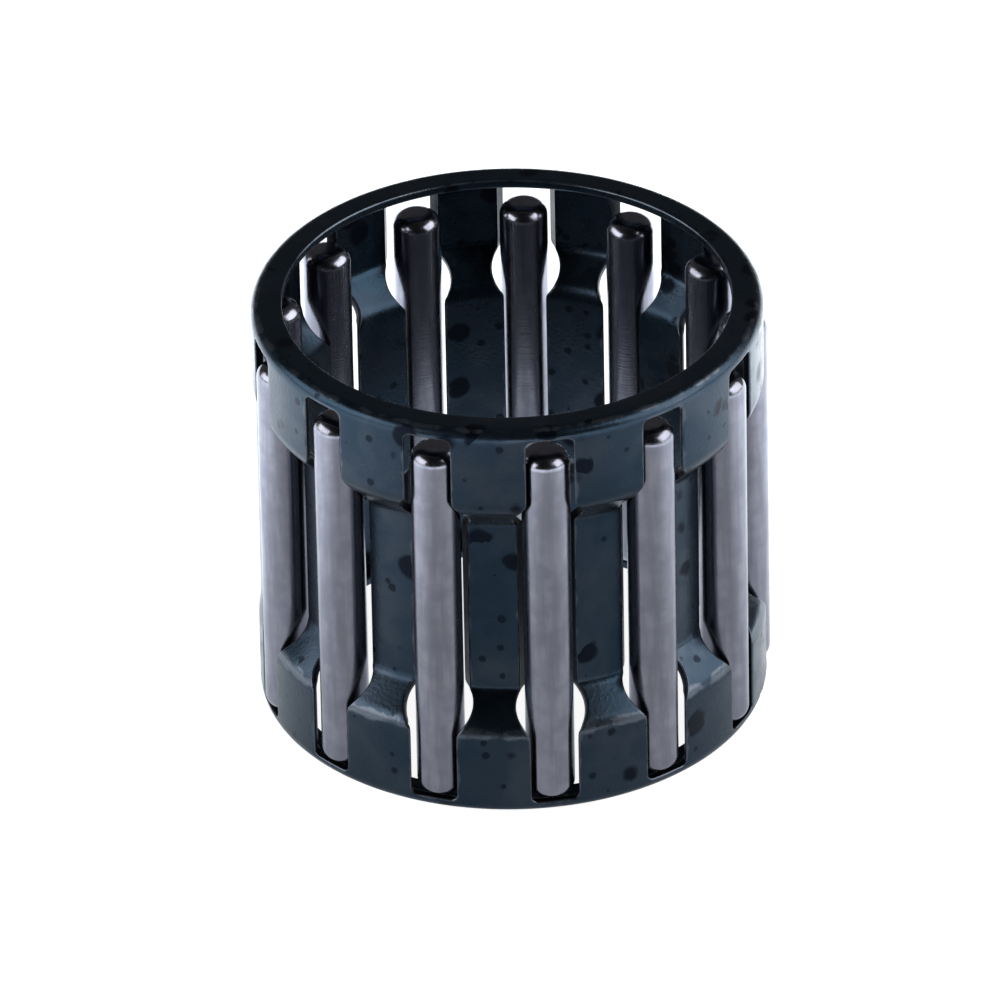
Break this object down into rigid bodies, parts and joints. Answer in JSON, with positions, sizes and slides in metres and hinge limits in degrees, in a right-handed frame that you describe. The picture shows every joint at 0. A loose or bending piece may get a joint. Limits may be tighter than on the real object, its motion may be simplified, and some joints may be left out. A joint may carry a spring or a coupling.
{
  "type": "needle roller bearing",
  "caption": "Needle roller and cage assembly: a blackened sheet-steel cage with an M-shaped section holds ground steel needles that each spin in a pocket.",
  "frame": {"origin": "on the bearing's axis, at its lower end face", "axes": "+Z along the bearing's axis, towards its upper end face; needle_01 lies on +X"},
  "size_m": [0.0159, 0.016, 0.0138],
  "materials": {
    "blackened_cage_steel": "blackened pressed sheet steel, oiled, dark blue-grey with round darker spots",
    "ground_needle_steel": "hardened and ground bearing steel, bright, with faint grinding marks"
  },
  "bodies": {
    "cage": {"cage": "blackened_cage_steel"},
    "needle_01": {"needle_01": "ground_needle_steel"},
    "needle_02": {"needle_02": "ground_needle_steel"},
    "needle_03": {"needle_03": "ground_needle_steel"},
    "needle_04": {"needle_04": "ground_needle_steel"},
    "needle_05": {"needle_05": "ground_needle_steel"},
    "needle_06": {"needle_06": "ground_needle_steel"},
    "needle_07": {"needle_07": "ground_needle_steel"},
    "needle_08": {"needle_08": "ground_needle_steel"},
    "needle_09": {"needle_09": "ground_needle_steel"},
    "needle_10": {"needle_10": "ground_needle_steel"},
    "needle_11": {"needle_11": "ground_needle_steel"},
    "needle_12": {"needle_12": "ground_needle_steel"},
    "needle_13": {"needle_13": "ground_needle_steel"}
  },
  "joints": [
    {"name": "needle_01_spin", "type": "hinge", "parent": "cage", "child": "needle_01", "pos_m": [0.00725, 0, 0.00661], "axis": [0, 0, 1], "continuous": true},
    {"name": "needle_02_spin", "type": "hinge", "parent": "cage", "child": "needle_02", "pos_m": [0.00639, 0.00342, 0.00661], "axis": [0, 0, 1], "continuous": true},
    {"name": "needle_03_spin", "type": "hinge", "parent": "cage", "child": "needle_03", "pos_m": [0.00407, 0.006, 0.00661], "axis": [0, 0, 1], "continuous": true},
    {"name": "needle_04_spin", "type": "hinge", "parent": "cage", "child": "needle_04", "pos_m": [0.00082, 0.0072, 0.00661], "axis": [0, 0, 1], "continuous": true},
    {"name": "needle_05_spin", "type": "hinge", "parent": "cage", "child": "needle_05", "pos_m": [-0.00252, 0.0068, 0.00661], "axis": [0, 0, 1], "continuous": true},
    {"name": "needle_06_spin", "type": "hinge", "parent": "cage", "child": "needle_06", "pos_m": [-0.00539, 0.00485, 0.00661], "axis": [0, 0, 1], "continuous": true},
    {"name": "needle_07_spin", "type": "hinge", "parent": "cage", "child": "needle_07", "pos_m": [-0.00703, 0.00179, 0.00661], "axis": [0, 0, 1], "continuous": true},
    {"name": "needle_08_spin", "type": "hinge", "parent": "cage", "child": "needle_08", "pos_m": [-0.00703, -0.00179, 0.00661], "axis": [0, 0, 1], "continuous": true},
    {"name": "needle_09_spin", "type": "hinge", "parent": "cage", "child": "needle_09", "pos_m": [-0.00539, -0.00485, 0.00661], "axis": [0, 0, 1], "continuous": true},
    {"name": "needle_10_spin", "type": "hinge", "parent": "cage", "child": "needle_10", "pos_m": [-0.00252, -0.0068, 0.00661], "axis": [0, 0, 1], "continuous": true},
    {"name": "needle_11_spin", "type": "hinge", "parent": "cage", "child": "needle_11", "pos_m": [0.00082, -0.0072, 0.00661], "axis": [0, 0, 1], "continuous": true},
    {"name": "needle_12_spin", "type": "hinge", "parent": "cage", "child": "needle_12", "pos_m": [0.00407, -0.006, 0.00661], "axis": [0, 0, 1], "continuous": true},
    {"name": "needle_13_spin", "type": "hinge", "parent": "cage", "child": "needle_13", "pos_m": [0.00639, -0.00342, 0.00661], "axis": [0, 0, 1], "continuous": true}
  ]
}
